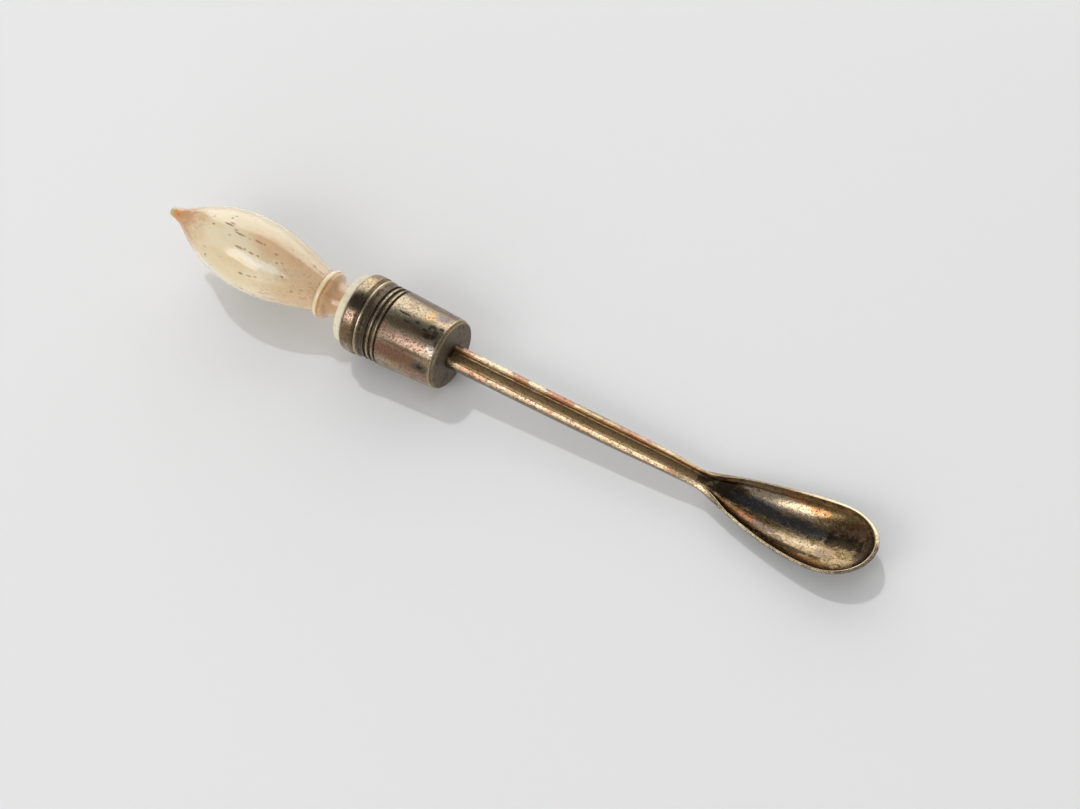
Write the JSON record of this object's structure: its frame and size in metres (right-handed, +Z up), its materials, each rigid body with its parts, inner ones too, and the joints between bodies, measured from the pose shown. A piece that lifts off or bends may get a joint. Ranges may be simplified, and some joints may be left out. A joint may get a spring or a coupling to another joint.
{
  "type": "snuff spoon",
  "caption": "Small snuff spoon: long channelled stem with a hollow leaf-shaped bowl, set in a ringed tapered collar under a turned bone finial.",
  "frame": {"origin": "on the surface that the spoon lies on, below the middle of its length and width", "axes": "+X along the spoon from the finial to the bowl, +Z up out of the bowl, Y across the bowl"},
  "size_m": [0.0857, 0.0088, 0.0101],
  "materials": {
    "translucent_bone": "polished bone, worn smooth, honey stained",
    "pale_bone": "plain turned bone, satin",
    "tarnished_metal": "worn gilt, heavily tarnished",
    "dull_metal": "dull, tarnished",
    "worn_gilt": "worn gilt, tarnished in the hollows"
  },
  "bodies": {
    "root": {"finial": "translucent_bone", "plug": "pale_bone", "collar": "tarnished_metal", "end_plate": "dull_metal", "spoon": "worn_gilt"}
  },
  "joints": []
}
